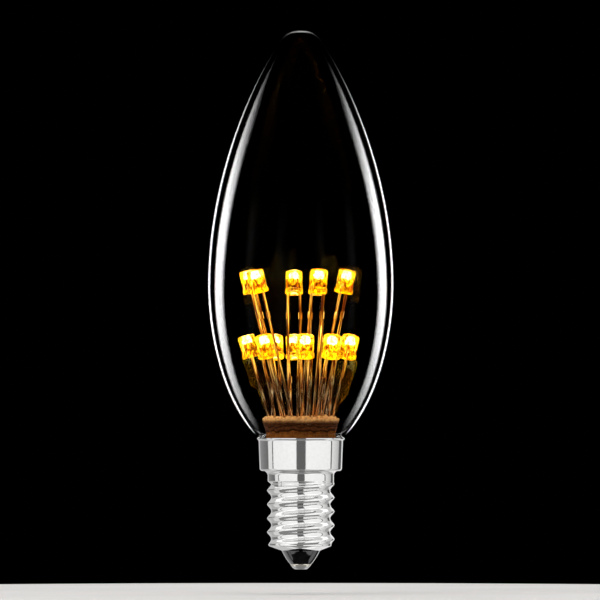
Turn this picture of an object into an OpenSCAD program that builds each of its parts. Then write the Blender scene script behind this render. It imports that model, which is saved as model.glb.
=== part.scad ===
// Clear candle lamp on a small screw cap, lit by two tiers of flat-topped diodes on long leads.
// Z runs up the lamp's axis from the flat of the tip contact, and the front faces -Y.
// An azimuth is measured round the axis from the front towards +X.

/* [Screw cap] */
// Diameter over the crests of the thread
thread_d = 13.8; // [13.2:0.1:14.4]
// Distance from one turn of the thread to the next
thread_pitch = 2.822; // [2.6:0.001:3.1]
// Depth of the thread from crest to root
thread_depth = 0.8; // [0.5:0.05:0.9]
// Share of the pitch that the narrow rounded crest takes; the root takes the rest
crest_share = 0.3; // [0.25:0.01:0.5]
// Height of the first crest above the lower edge, on the right
thread_start = 2.33; // [0:0.01:2.8]
// Thickness of the cap's sheet metal
cap_wall = 0.25; // [0.15:0.05:0.35]
// Height of the threaded shell from its lower edge to the foot of the skirt
shell_h = 16.2; // [15:0.1:20]
// Plain band between the thread and the skirt
band_h = 2.3; // [2:0.1:4]
// Radius of the turned-in lower edge
edge_r = 0.7; // [0.5:0.05:0.9]
// Diameter of the skirt at its foot
skirt_d = 16.7; // [16.4:0.1:18]
// Height of the skirt from its foot to its rim
skirt_h = 6.65; // [5.5:0.05:9]
// Radius round the foot of the skirt
skirt_foot_r = 0.5; // [0.4:0.05:0.7]
// Radius of the hollow where the skirt's shoulder meets the band
shoulder_r = 1; // [0.6:0.1:1.2]
// How far the skirt widens on each side up to its rim
skirt_draft = 0.2; // [0:0.05:0.4]
// How far the rim flares out on each side
rim_flare = 0.35; // [0.2:0.05:0.6]
// Height of the flared rim
rim_h = 0.7; // [0.5:0.05:1]

/* [Contact and insulator] */
// Diameter of the flat on the tip contact
contact_flat_d = 2.4; // [1.6:0.1:3]
// Diameter of the contact where it meets the insulator
contact_d = 4.3; // [3.8:0.1:5]
// Height of the whole contact
contact_h = 1.05; // [0.8:0.05:1.5]
// Height of the solder dome below the brass eyelet
solder_h = 0.55; // [0.3:0.05:0.6]
// Diameter of the eyelet's stem
eyelet_stem_d = 1.8; // [1.4:0.1:2.4]
// Diameter of the bore through the eyelet
eyelet_bore_d = 0.9; // [0.85:0.05:1.1]
// Diameter of the insulator where it leaves the cap
insulator_d = 7.8; // [7:0.1:8.6]
// Height of the insulator's cone below the cap
insulator_h = 2.75; // [2:0.05:4]
// Diameter of the insulator's flange inside the cap
insulator_flange_d = 10.8; // [9.6:0.1:11]
// Thickness of the insulator's flange inside the cap
insulator_flange_h = 1.5; // [1:0.1:2]

/* [Glass] */
// Diameter of the glass at its widest
glass_d = 38; // [32:0.5:45]
// Height of the glass above the rim of the cap
glass_h = 82.85; // [78:0.05:100]
// Height of the widest place above the rim of the cap
belly_h = 31.05; // [26:0.05:38]
// Thickness of the glass
glass_wall = 0.8; // [0.5:0.05:1]
// Gap between the glass neck and the foot of the skirt, filled with cement
neck_gap = 0.15; // [0.1:0.05:0.3]
// Bed of cement below the end of the neck
neck_bed = 0.4; // [0.2:0.05:0.8]
// How far the capping cement climbs round the neck
cement_h = 3.6; // [2:0.1:4]
// Length of the hollow that turns the neck into the bowl
neck_turn_h = 2.2; // [1.5:0.1:3]

/* [Diode carrier] */
// Height of the diode board's top face above the rim of the cap
board_rise = 4.05; // [3:0.05:7]
// Diameter of the diode board's top face
board_d = 15.6; // [15.2:0.1:17]
// Thickness of the diode board
board_t = 1.1; // [0.8:0.1:1.6]
// How far the carrier narrows on each side from the board's top face to the rim of the cap
carrier_taper = 0.9; // [0.6:0.05:1.2]
// Depth of the hollow below the diode board
hollow_h = 1.6; // [1.4:0.1:2.5]
// Width of the ledge that carries the diode board
ledge_w = 0.4; // [0.3:0.05:0.5]
// Width of the two grooves round the carrier
groove_w = 0.3; // [0.15:0.05:0.5]
// Depth of the two grooves round the carrier
groove_depth = 0.15; // [0.05:0.05:0.3]
// Diameter of the hole round each diode lead
lead_hole_d = 0.85; // [0.8:0.05:1]
// Diameter of the dab of glue round each lead
dab_d = 1.15; // [0.9:0.05:1.2]
// Height of the dab of glue round each lead
dab_h = 0.4; // [0.2:0.05:0.8]
// Diameter of the solder below the board at each lead
joint_d = 1; // [0.8:0.05:1.1]
// Height of the solder below the board at each lead
joint_h = 0.6; // [0.4:0.05:0.9]

/* [Diodes] */
// Diameter of a diode's body
diode_d = 3.4; // [3:0.1:3.5]
// Height of a diode with its flange
diode_h = 4.6; // [4.2:0.1:5.6]
// Diameter of the flange at the diode's base
flange_d = 3.7; // [3.6:0.05:4]
// Height of the flange
flange_h = 0.8; // [0.6:0.1:1.2]
// Depth of the flat on the flange
flange_flat = 0.1; // [0.05:0.05:0.2]
// Radius round the top edge of a diode
diode_edge_r = 0.3; // [0.1:0.05:0.5]
// Distance between the two leads of a diode
lead_pitch = 2.54; // [2.2:0.01:2.6]
// Width of a lead
lead_w = 0.5; // [0.4:0.01:0.55]
// Thickness of a lead
lead_t = 0.45; // [0.4:0.01:0.5]
// Distance from the diode down to the stub on each lead
stub_drop = 4; // [2:0.1:6]
// Length of the stub on each lead
stub_h = 1.4; // [0.8:0.1:2]
// Width of the stub on each lead
stub_w = 0.8; // [0.6:0.05:1]
// Length of lead left below the board
lead_tail = 0.8; // [0.5:0.05:1.2]
// Side of a square light-emitting chip
chip_w = 0.35; // [0.25:0.05:0.4]
// Thickness of the chip
chip_t = 0.15; // [0.1:0.05:0.25]
// Diameter of the reflector cup
cup_d = 1.2; // [1:0.05:1.3]
// Height of the reflector cup
cup_h = 0.8; // [0.5:0.05:1]
// Height of the reflector cup's foot above the diode's base
cup_rise = 2.2; // [1.8:0.1:2.6]

/* [Tiers] */
// Radius of the upper tier's leads on the board
upper_foot_r = 3.7; // [3.5:0.1:4]
// Radius of the upper tier at the diodes' bases
upper_head_r = 9.9; // [9.7:0.1:11.5]
// Height of the upper tier's bases above the board
upper_rise = 25.5; // [20:0.1:30]
// Radius of the lower tier's leads on the board
lower_foot_r = 6.45; // [6.3:0.05:6.55]
// Radius of the lower tier at the diodes' bases
lower_head_r = 9.95; // [9.8:0.05:11]
// Height of the lower tier's bases above the board
lower_rise = 12.4; // [10:0.1:14]

/* [Driver] */
// Width of the driver board
driver_w = 9.6; // [9:0.1:10]
// Thickness of the driver board
driver_t = 1; // [0.8:0.1:1.2]
// How far the driver board reaches up into the carrier
slot_h = 2; // [1:0.1:3]
// Clearance round the driver board in its slot
slot_gap = 0.1; // [0.05:0.05:0.15]
// Gap between the driver board and the insulator
driver_gap = 1; // [0.6:0.1:1.6]
// Width of the film capacitor
film_w = 7.2; // [6:0.1:7.4]
// Depth of the film capacitor
film_d = 3.2; // [2.5:0.1:3.3]
// Height of the film capacitor as a share of the driver board below the carrier
film_share = 0.45; // [0.38:0.01:0.46]
// Diameter of the smoothing capacitor
can_d = 4; // [3.5:0.1:4.4]
// Height of the smoothing capacitor as a share of the driver board below the carrier
can_share = 0.41; // [0.34:0.01:0.42]
// Diameter of the fusible resistor
resistor_d = 1.9; // [1.5:0.1:2]
// Length of the fusible resistor
resistor_l = 5.4; // [4.5:0.1:5.8]
// Diameter of the components' wires
pin_d = 0.5; // [0.4:0.05:0.6]
// Clearance round a wire in its hole
pin_gap = 0.1; // [0.05:0.05:0.15]
// Length of wire left beyond the driver board
pin_tail = 0.3; // [0.1:0.05:0.35]
// Gap between a component and the driver board
part_gap = 0.4; // [0.4:0.05:0.5]
// Gap between the wires of a capacitor and the component below them
stack_gap = 0.6; // [0.4:0.05:0.7]
// Width of the bridge rectifier
bridge_w = 4.2; // [3.6:0.1:4.6]
// Height of the bridge rectifier
bridge_h = 2.4; // [2:0.1:2.6]
// Thickness of the bridge rectifier
bridge_t = 1.5; // [1.2:0.1:1.8]
// Diameter of the insulated wires to the diode board
wire_d = 1; // [0.8:0.05:1.1]
// Distance between the two wires to the diode board
wire_spacing = 3; // [2.6:0.1:3.2]
// Diameter of the bare wires to the contacts
bare_wire_d = 0.7; // [0.5:0.05:0.8]

/* [Hidden] */
$fn = 48;
eps = 0.01;

// Levels up the lamp
shell_z = contact_h + insulator_h;
skirt_z = shell_z + shell_h;
rim_z = skirt_z + skirt_h;
board_top = rim_z + board_rise;
plug_top = board_top - board_t;
plug_foot = skirt_z + cap_wall;
neck_z = plug_foot + neck_bed;
flange_top = shell_z + cap_wall + insulator_flange_h;

// Points shared by the outlines
function arc(centre, r, from, to, steps) =
    [for (i = [0:steps]) let (a = from + (to - from) * i / steps) centre + r * [cos(a), sin(a)]];
function bezier(p, steps) =
    [for (i = [1:steps]) let (t = i / steps, s = 1 - t)
        s * s * s * p[0] + 3 * s * s * t * p[1] + 3 * s * t * t * p[2] + t * t * t * p[3]];
function unit(v) = v / norm(v);
function left_of(v) = [-v[1], v[0]];
function reversed(list) = [for (i = [len(list) - 1:-1:0]) list[i]];
// Moves each point of an open outline to its left by a distance, with mitred corners
function shifted(p, distance) =
    [for (i = [0:len(p) - 1])
        let (into = i > 0 ? unit(p[i] - p[i - 1]) : unit(p[1] - p[0]),
             out = i < len(p) - 1 ? unit(p[i + 1] - p[i]) : into,
             mid = unit(left_of(into) + left_of(out)))
        p[i] + distance * mid / (mid * left_of(into))];

// Screw cap: one pressed sheet, from the flared rim down to the turned-in lower edge
sides = 48;
rows_per_turn = 8;
thread_mid_r = (thread_d - thread_depth) / 2;
thread_top = skirt_z - band_h;
thread_foot = shell_z + edge_r;
fade_h = thread_pitch / 2;
roll_rs = (pow(thread_pitch / 2, 2) + pow(thread_depth, 2)) / (2 * thread_depth);
roll_lean = asin(thread_pitch / 2 / roll_rs);
skirt_r = skirt_d / 2;
rim_r = skirt_r + skirt_draft + rim_flare;
thread_rows = ceil((thread_top - thread_foot) / thread_pitch * rows_per_turn);
cap_outline = concat(
    [[rim_r, rim_z], [skirt_r + skirt_draft + rim_flare / 4, rim_z - rim_h / 2],
     [skirt_r + skirt_draft, rim_z - rim_h]],
    arc([skirt_r - skirt_foot_r, skirt_z + skirt_foot_r], skirt_foot_r, 0, -90, 4),
    arc([thread_mid_r + shoulder_r, skirt_z - shoulder_r], shoulder_r, 90, 180, 4),
    [for (i = [0:thread_rows]) [thread_mid_r, thread_top + (thread_foot - thread_top) * i / thread_rows]],
    arc([thread_mid_r - edge_r, thread_foot], edge_r, -30, -90, 2),
    [[insulator_d / 2 / cos(180 / sides), shell_z]]);
cap_lining = shifted(cap_outline, -cap_wall);
// Share of the full thread at a height: it fades in above the lower edge and out below the band
function thread_share(z) =
    max(0, min(1, (z - thread_foot) / fade_h, (thread_top - z) / fade_h));
// Rolled thread: an arc at the crest runs into an arc at the root; the inner face lies deeper by depth
function thread_wave(z, angle, depth) =
    let (turn = (z - shell_z - thread_start) / thread_pitch - angle / 360,
         x = abs(turn - round(turn)) * thread_pitch,
         crest_r = roll_rs * crest_share, root_r = roll_rs - crest_r,
         crest = crest_r - depth, root = root_r + depth)
    x < crest * sin(roll_lean)
        ? thread_depth / 2 - crest_r + sqrt(crest * crest - x * x)
        : root_r - thread_depth / 2 - sqrt(root * root - pow(thread_pitch / 2 - x, 2));
function cap_ring(p, depth) =
    [for (j = [0:sides - 1])
        let (angle = j * 360 / sides, share = thread_share(p[1]),
             r = p[0] + (share > 0 ? share * (thread_wave(p[1], angle, depth) + depth) : 0))
        [r * cos(angle), r * sin(angle), p[1]]];
function band_faces(upper, lower, flip) =
    [for (j = [0:sides - 1])
        let (k = (j + 1) % sides, a = upper + j, b = upper + k, c = lower + k, d = lower + j)
        each flip ? [[a, c, b], [a, d, c]] : [[a, b, c], [a, c, d]]];

// Glass outline: each curve's points are shares of the way out to the belly and up from the rim
neck_r = skirt_r - cap_wall - neck_gap;
function bowl_point(out, up) = [neck_r + (glass_d / 2 - neck_r) * out, rim_z + belly_h * up];
function flame_point(out, up) = [glass_d / 2 * out, rim_z + belly_h + (glass_h - belly_h) * up];
bowl_start = bowl_point(0.1, 0.024);
glass_outline = concat(
    [[neck_r, neck_z], [neck_r, bowl_start[1] - neck_turn_h - 0.6]],
    bezier([[neck_r, bowl_start[1] - neck_turn_h - 0.6], [neck_r, bowl_start[1] - neck_turn_h * 0.65],
            bowl_start - [0.7, 0.8], bowl_start], 6),
    bezier([bowl_start, bowl_point(0.696, 0.241), bowl_point(1, 0.659), bowl_point(1, 1)], 16),
    bezier([flame_point(1, 0), flame_point(1, 0.383), flame_point(0.62, 0.73),
            flame_point(0.29, 0.921)], 18),
    bezier([flame_point(0.29, 0.921), flame_point(0.21, 0.967), flame_point(0.163, 1),
            flame_point(0, 1)], 10));
glass_lining = concat(
    [for (p = shifted(glass_outline, glass_wall)) if (p[0] > eps) p],
    [[0, rim_z + glass_h - glass_wall]]);

// Carrier: the board and the plug share one tapered side
function carrier_r(z) = board_d / 2 - carrier_taper * (board_top - z) / board_rise;
plug_r = carrier_r(rim_z);
hollow_r = carrier_r(plug_top) - ledge_w;

// Diodes: each row is the azimuth of the foot on the board and the azimuth of the head
upper_turns = [[-100, -82], [-40, -57], [20, 20], [80, 60], [140, 160], [200, 188]];
lower_turns = [[5, 5], [50, 37], [90, 68], [140, 141], [185, 187], [230, 212], [275, 273], [320, 318]];
function around(r, azimuth, z) = [r * sin(azimuth), -r * cos(azimuth), z];
// A diode is [foot, head, azimuth that its pair of leads faces]
upper_tier = [for (t = upper_turns)
    [around(upper_foot_r, t[0], board_top), around(upper_head_r, t[1], board_top + upper_rise), t[1]]];
lower_tier = [for (t = lower_turns)
    [around(lower_foot_r, t[0], board_top), around(lower_head_r, t[1], board_top + lower_rise), t[0]]];
diodes = concat(upper_tier, lower_tier);
function reach(diode) = norm(diode[1] - diode[0]);
function lean_turn(diode) = atan2(diode[1][1] - diode[0][1], diode[1][0] - diode[0][0]);
function lean_tilt(diode) = acos((diode[1][2] - diode[0][2]) / reach(diode));
function spin(diode) = diode[2] - lean_turn(diode);
function turn_z(v, a) = [v[0] * cos(a) - v[1] * sin(a), v[0] * sin(a) + v[1] * cos(a), v[2]];
function tilt_y(v, a) = [v[0] * cos(a) + v[2] * sin(a), v[1], v[2] * cos(a) - v[0] * sin(a)];
function leaned(v, diode) = turn_z(tilt_y(turn_z(v, spin(diode)), lean_tilt(diode)), lean_turn(diode));
// Where the middle of a lead passes a level; side is -1 or 1
function lead_at(diode, side, z) =
    let (start = diode[0] + leaned([side * lead_pitch / 2, 0, 0], diode), along = leaned([0, 0, 1], diode))
    start + along * (z - start[2]) / along[2];

// Driver
driver_top = plug_foot + slot_h;
driver_foot = flange_top + driver_gap;
driver_free = plug_foot - driver_foot;
face_y = driver_t / 2;
bend_swell = 1.04;
bare_y = face_y + bare_wire_d / 2 * bend_swell;
wire_y = -(face_y + 1.2);
wire_foot_z = plug_foot - 1.1;
wire_room = 2;
pin_drop = 0.8;
leg_h = 0.65;
film_h = film_share * driver_free;
film_z = plug_foot - wire_room - film_h;
can_h = can_share * driver_free;
can_z = plug_foot - wire_room / 2 - can_h;
resistor_z = film_z - pin_drop - pin_d / 2 - stack_gap - resistor_d / 2;
bridge_z = can_z - pin_drop - pin_d / 2 - stack_gap - leg_h - bridge_h / 2;
// Each pin is [x, z, which face the component is on]
film_pins = [[-2.5, film_z - pin_drop, -1], [2.5, film_z - pin_drop, -1]];
can_pins = [[-1, can_z - pin_drop, 1], [1, can_z - pin_drop, 1]];
resistor_pins = [[-resistor_l / 2 - 0.9, resistor_z, -1], [resistor_l / 2 + 0.9, resistor_z, -1]];

module leaning(diode) {
    translate(diode[0]) rotate([0, 0, lean_turn(diode)]) rotate([0, lean_tilt(diode), 0])
        rotate([0, 0, spin(diode)]) children();
}

// A round wire through a list of points, a little thicker at its bends
module wire(points, d) {
    for (i = [0:len(points) - 2]) {
        run = points[i + 1] - points[i];
        translate(points[i])
            rotate([0, acos(run[2] / norm(run)), atan2(run[1], run[0])]) cylinder(h = norm(run), d = d);
    }
    for (i = [1:len(points) - 2]) translate(points[i]) sphere(d = d * bend_swell);
}

// Clear blown glass, open at the neck that stands in the cap
module glass_envelope() {
    color("lightcyan", 0.35) rotate_extrude() polygon(concat(glass_outline, reversed(glass_lining)));
}

// Pressed sheet-metal cap with its rolled thread, shoulder, skirt and flared rim
module screw_shell() {
    rows = len(cap_outline);
    inner = rows * sides;
    color("silver") polyhedron(
        points = concat([for (p = cap_outline) each cap_ring(p, 0)],
                        [for (p = cap_lining) each cap_ring(p, cap_wall)]),
        faces = concat(
            [for (i = [0:rows - 2]) each band_faces(i * sides, (i + 1) * sides, false)],
            [for (i = [0:rows - 2]) each band_faces(inner + i * sides, inner + (i + 1) * sides, true)],
            band_faces(0, inner, true),
            band_faces((rows - 1) * sides, inner + (rows - 1) * sides, false)));
}

// Black glass insulator that closes the foot of the cap and holds the eyelet
module cap_insulator() {
    r = insulator_d / 2;
    tip_r = contact_d / 2;
    color("black") rotate_extrude() polygon(concat(
        [[eyelet_stem_d / 2, contact_h], [tip_r, contact_h]],
        bezier([[tip_r, contact_h], [tip_r + (r - tip_r) * 0.32, contact_h + insulator_h * 0.2],
                [tip_r + (r - tip_r) * 0.72, shell_z - insulator_h * 0.38], [r, shell_z]], 8),
        [[r, shell_z + cap_wall], [insulator_flange_d / 2, shell_z + cap_wall],
         [insulator_flange_d / 2, flange_top], [eyelet_stem_d / 2, flange_top]]));
}

// Ball whose cap is the outer face of the contact
module contact_ball() {
    centre = (pow(contact_d / 2, 2) + pow(contact_h, 2) - pow(contact_flat_d / 2, 2)) / (2 * contact_h);
    translate([0, 0, centre]) sphere(r = norm([contact_flat_d / 2, centre]));
}

// Brass eyelet: a dished disc with a stem through the insulator
module contact_eyelet() {
    color("goldenrod") difference() {
        union() {
            intersection() {
                contact_ball();
                translate([0, 0, solder_h]) cylinder(h = contact_h - solder_h, d = contact_d * 2);
            }
            translate([0, 0, contact_h - eps])
                cylinder(h = flange_top - contact_h + eps, d = eyelet_stem_d);
        }
        translate([0, 0, solder_h - eps]) cylinder(h = flange_top, d = eyelet_bore_d);
    }
}

// Solder dome that closes the eyelet and carries the flat of the contact
module tip_solder() {
    color("gainsboro") intersection() {
        contact_ball();
        cylinder(h = solder_h, d = contact_d * 2);
    }
}

// Capping cement round the neck and below its end
module capping_cement() {
    bed_r = (skirt_r - cap_wall) * cos(180 / sides) - eps;
    color("tan") rotate_extrude() polygon([
        [plug_r, plug_foot + eps], [skirt_r - skirt_foot_r, plug_foot + eps],
        [bed_r, plug_foot + skirt_foot_r], [bed_r, plug_foot + cement_h], [neck_r, plug_foot + cement_h],
        [neck_r, neck_z], [plug_r, neck_z]]);
}

// Tapered brown plug that carries the diode board and holds the top of the driver board
module carrier_plug() {
    foot_r = plug_r;
    grooves = [plug_top - 1, plug_top - 2];
    color("saddlebrown") difference() {
        rotate_extrude() polygon([
            [0, plug_foot + eps], [foot_r, plug_foot + eps], [foot_r, rim_z],
            [carrier_r(plug_top), plug_top], [hollow_r, plug_top], [hollow_r, plug_top - hollow_h],
            [0, plug_top - hollow_h]]);
        for (z = grooves) translate([0, 0, z - groove_w / 2]) difference() {
            cylinder(h = groove_w, r = board_d);
            translate([0, 0, -eps]) cylinder(h = groove_w + 2 * eps, r = carrier_r(z) - groove_depth);
        }
        translate([-driver_w / 2 - slot_gap, -face_y - slot_gap, plug_foot - eps])
            cube([driver_w + 2 * slot_gap, driver_t + 2 * slot_gap, slot_h + slot_gap + eps]);
        for (side = [-1, 1]) translate([side * wire_spacing / 2, wire_y, plug_foot - eps])
            cylinder(h = plug_top - plug_foot, d = wire_d + 2 * pin_gap);
    }
}

// Brown round board with a hole for every diode lead and both wires
module diode_board() {
    color("peru") difference() {
        translate([0, 0, plug_top]) cylinder(h = board_t, r1 = carrier_r(plug_top), r2 = board_d / 2);
        for (diode = diodes, side = [-1, 1]) leaning(diode)
            translate([side * lead_pitch / 2, 0, -2 * board_t]) cylinder(h = 4 * board_t, d = lead_hole_d);
        for (side = [-1, 1]) translate([side * wire_spacing / 2, wire_y, plug_top - eps])
            cylinder(h = board_t + 2 * eps, d = wire_d + 2 * pin_gap);
    }
}

// One lead as a plain bar, long enough to cut its way through the board and what is on it
module lead_bar(side, from, to) {
    translate([side * lead_pitch / 2 - lead_w / 2, -lead_t / 2, from]) cube([lead_w, lead_t, to - from]);
}

// Dabs of glue on the board, one round each lead
module lead_glue() {
    color("burlywood") for (diode = diodes, side = [-1, 1]) difference() {
        translate(lead_at(diode, side, board_top)) cylinder(h = dab_h, d1 = dab_d, d2 = dab_d * 0.7);
        leaning(diode) lead_bar(side, -2 * dab_h, 4 * dab_h);
    }
}

// Solder below the board, one joint at each lead
module lead_solder() {
    color("silver") for (diode = diodes, side = [-1, 1]) difference() {
        translate(lead_at(diode, side, plug_top) - [0, 0, joint_h])
            cylinder(h = joint_h, d1 = joint_d * 0.7, d2 = joint_d);
        leaning(diode) lead_bar(side, -2 * (board_t + joint_h), board_t);
    }
}

// Clear amber body of a diode, cast round the tops of its leads
module diode_body(diode) {
    base = reach(diode);
    color("orange") leaning(diode) difference() {
        translate([0, 0, base]) rotate_extrude() polygon(concat(
            [[0, 0], [flange_d / 2, 0], [flange_d / 2, flange_h], [diode_d / 2, flange_h]],
            arc([diode_d / 2 - diode_edge_r, diode_h - diode_edge_r], diode_edge_r, 0, 90, 4),
            [[0, diode_h]]));
        translate([-flange_d, -flange_d, base - eps])
            cube([flange_d - (flange_d / 2 - flange_flat), 2 * flange_d, flange_h + eps]);
        lead_pair(base);
        chip(base);
    }
}

// Both stamped leads of a diode, from below the board up into its body
module lead_pair(base) {
    foot = -board_t - lead_tail;
    x = lead_pitch / 2;
    w = lead_w / 2;
    s = stub_w / 2;
    stub_top = base - stub_drop;
    stub_foot = stub_top - stub_h;
    cup_foot = base + cup_rise;
    translate([0, lead_t / 2, 0]) rotate([90, 0, 0]) linear_extrude(lead_t) {
        polygon([[-x - w, foot], [-x + w, foot], [-x + w, stub_foot], [-x + s, stub_foot],
                 [-x + s, stub_top], [-x + w, stub_top], [-x + w, base + 0.7], [cup_d / 2 - 0.15, cup_foot],
                 [-cup_d / 2, cup_foot], [-x - w, base + 1.4], [-x - w, stub_top], [-x - s, stub_top],
                 [-x - s, stub_foot], [-x - w, stub_foot]]);
        polygon([[x - w, foot], [x + w, foot], [x + w, stub_foot], [x + s, stub_foot],
                 [x + s, stub_top], [x + w, stub_top], [x + w, cup_foot + cup_h], [x - 1.2 * w, cup_foot + cup_h],
                 [x - 1.2 * w, cup_foot + 0.3], [x - w, base + 1.6], [x - w, stub_top], [x - s, stub_top],
                 [x - s, stub_foot], [x - w, stub_foot]]);
    }
    translate([0, 0, cup_foot]) difference() {
        cylinder(h = cup_h, d = cup_d);
        translate([0, 0, cup_h * 0.4]) cylinder(h = cup_h * 0.6 + eps, d1 = cup_d * 0.5, d2 = cup_d * 0.85);
    }
}

module chip(base) {
    translate([-chip_w / 2, -chip_w / 2, base + cup_rise + cup_h * 0.4]) cube([chip_w, chip_w, chip_t]);
}

module diode_leads(diode) {
    color("lightgray") leaning(diode) lead_pair(reach(diode));
}

// Light-emitting chips, one in each reflector cup
module diode_chips() {
    color("yellow") for (diode = diodes) leaning(diode) chip(reach(diode));
}

module pin_hole(pin) {
    translate([pin[0], -driver_t, pin[1]]) rotate([-90, 0, 0])
        cylinder(h = 2 * driver_t, d = pin_d + 2 * pin_gap);
}

// Driver board, upright in the cap with its top edge in the carrier's slot
module driver_board() {
    color("seagreen") difference() {
        translate([-driver_w / 2, -face_y, driver_foot])
            cube([driver_w, driver_t, driver_top - driver_foot]);
        for (pin = concat(film_pins, can_pins, resistor_pins)) pin_hole(pin);
    }
}

// Two wires that leave a component's foot and turn through the board
module foot_pins(pins, y, top) {
    for (pin = pins)
        wire([[pin[0], y, top], [pin[0], y, pin[1]], [pin[0], -pin[2] * (face_y + pin_tail), pin[1]]], pin_d);
}

// Film capacitor on the front of the driver board
module film_capacitor() {
    y = -(face_y + part_gap + film_d / 2);
    color("firebrick") {
        translate([-film_w / 2, y - film_d / 2, film_z]) cube([film_w, film_d, film_h]);
        foot_pins(film_pins, y, film_z + eps);
    }
}

// Smoothing capacitor on the back of the driver board
module smoothing_capacitor() {
    y = face_y + part_gap + can_d / 2;
    color("midnightblue") {
        translate([0, y, can_z]) cylinder(h = can_h, d = can_d);
        foot_pins(can_pins, y, can_z + eps);
    }
}

// Bridge rectifier soldered flat on the back of the driver board
module bridge_rectifier() {
    color("dimgray") {
        translate([-bridge_w / 2, face_y + part_gap, bridge_z - bridge_h / 2])
            cube([bridge_w, bridge_t, bridge_h]);
        for (x = [-1, 1])
            translate([x * bridge_w / 4 - 0.3, face_y, bridge_z - bridge_h / 2 - leg_h])
                cube([0.6, part_gap + 0.3, bridge_h + 2 * leg_h]);
    }
}

// Fusible resistor across the front of the driver board
module fusible_resistor() {
    y = -(face_y + part_gap + resistor_d / 2);
    color("steelblue") {
        translate([-resistor_l / 2, y, resistor_z]) rotate([0, 90, 0])
            cylinder(h = resistor_l, d = resistor_d);
        for (pin = resistor_pins)
            wire([[0, y, resistor_z], [pin[0], y, resistor_z], [pin[0], face_y + pin_tail, resistor_z]], pin_d);
    }
}

// Bare wire from the pad on the driver board's lower edge through the eyelet to the tip
module live_wire() {
    color("gray") wire([[0, 0, solder_h], [0, 0, driver_foot]], bare_wire_d);
}

// Bare wire from the driver board to the side of the cap
shell_joint = [thread_mid_r - cap_wall - 0.7, bare_y, thread_top + 0.6];
module shell_wire() {
    color("gray") wire([[driver_w / 2 - 0.8, bare_y, thread_top + 0.2],
        [driver_w / 2 - 0.1, bare_y, thread_top + 0.2], shell_joint], bare_wire_d);
}

module shell_solder() {
    color("silver") difference() {
        translate(shell_joint) sphere(r = 0.55);
        shell_wire();
    }
}

// Two insulated wires from the driver board up to the diode board
module diode_wires() {
    color("red") for (side = [-1, 1]) let (x = side * wire_spacing / 2)
        wire([[x, -face_y - wire_d / 2, wire_foot_z - 0.4], [x, wire_y, wire_foot_z + 0.4],
              [x, wire_y, board_top + 0.3]], wire_d);
}

glass_envelope();
screw_shell();
cap_insulator();
contact_eyelet();
tip_solder();
capping_cement();
carrier_plug();
diode_board();
lead_glue();
lead_solder();
diode_chips();
driver_board();
film_capacitor();
smoothing_capacitor();
bridge_rectifier();
fusible_resistor();
live_wire();
shell_wire();
shell_solder();
diode_wires();
diode_body(diodes[0]);  // upper_diode_1
diode_body(diodes[1]);  // upper_diode_2
diode_body(diodes[2]);  // upper_diode_3
diode_body(diodes[3]);  // upper_diode_4
diode_body(diodes[4]);  // upper_diode_5
diode_body(diodes[5]);  // upper_diode_6
diode_body(diodes[6]);  // lower_diode_1
diode_body(diodes[7]);  // lower_diode_2
diode_body(diodes[8]);  // lower_diode_3
diode_body(diodes[9]);  // lower_diode_4
diode_body(diodes[10]);  // lower_diode_5
diode_body(diodes[11]);  // lower_diode_6
diode_body(diodes[12]);  // lower_diode_7
diode_body(diodes[13]);  // lower_diode_8
diode_leads(diodes[0]);  // upper_leads_1
diode_leads(diodes[1]);  // upper_leads_2
diode_leads(diodes[2]);  // upper_leads_3
diode_leads(diodes[3]);  // upper_leads_4
diode_leads(diodes[4]);  // upper_leads_5
diode_leads(diodes[5]);  // upper_leads_6
diode_leads(diodes[6]);  // lower_leads_1
diode_leads(diodes[7]);  // lower_leads_2
diode_leads(diodes[8]);  // lower_leads_3
diode_leads(diodes[9]);  // lower_leads_4
diode_leads(diodes[10]);  // lower_leads_5
diode_leads(diodes[11]);  // lower_leads_6
diode_leads(diodes[12]);  // lower_leads_7
diode_leads(diodes[13]);  // lower_leads_8
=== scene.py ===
"""LED candle bulb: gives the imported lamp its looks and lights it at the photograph's angle."""

import logging
import math
from dataclasses import dataclass, field
from enum import Enum
from itertools import pairwise
from typing import Callable, Iterable, Sequence

import bmesh
import bpy
from mathutils import Matrix, Vector, noise


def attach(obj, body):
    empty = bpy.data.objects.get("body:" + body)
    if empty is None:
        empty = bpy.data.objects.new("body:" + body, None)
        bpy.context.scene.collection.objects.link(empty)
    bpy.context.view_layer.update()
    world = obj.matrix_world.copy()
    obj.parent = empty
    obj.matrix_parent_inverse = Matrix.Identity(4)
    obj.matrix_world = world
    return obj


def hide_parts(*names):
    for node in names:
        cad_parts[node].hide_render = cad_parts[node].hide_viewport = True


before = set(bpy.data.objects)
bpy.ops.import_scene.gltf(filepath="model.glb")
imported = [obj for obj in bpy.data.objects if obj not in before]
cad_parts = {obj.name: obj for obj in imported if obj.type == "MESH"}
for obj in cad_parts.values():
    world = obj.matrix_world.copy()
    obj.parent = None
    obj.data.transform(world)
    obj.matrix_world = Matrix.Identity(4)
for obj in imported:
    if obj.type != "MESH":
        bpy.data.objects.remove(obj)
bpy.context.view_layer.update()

log = logging.getLogger("candle_bulb")

MM = 0.001
Colour = tuple[float, float, float]
Outline = list[tuple[float, float]]


class Slot(str, Enum):
    """The record's material slots."""

    CLEAR_GLASS = "clear_glass"
    CAP_METAL = "cap_metal"
    BLACK_VITRITE = "black_vitrite"
    EYELET_BRASS = "eyelet_brass"
    SOLDER = "solder"
    CEMENT = "cement"
    CARRIER_RESIN = "carrier_resin"
    BOARD_LAMINATE = "board_laminate"
    GLUE = "glue"
    DIODE_EPOXY = "diode_epoxy"
    LEAD_TIN = "tinned_leads"


# Outlines and meshes


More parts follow.
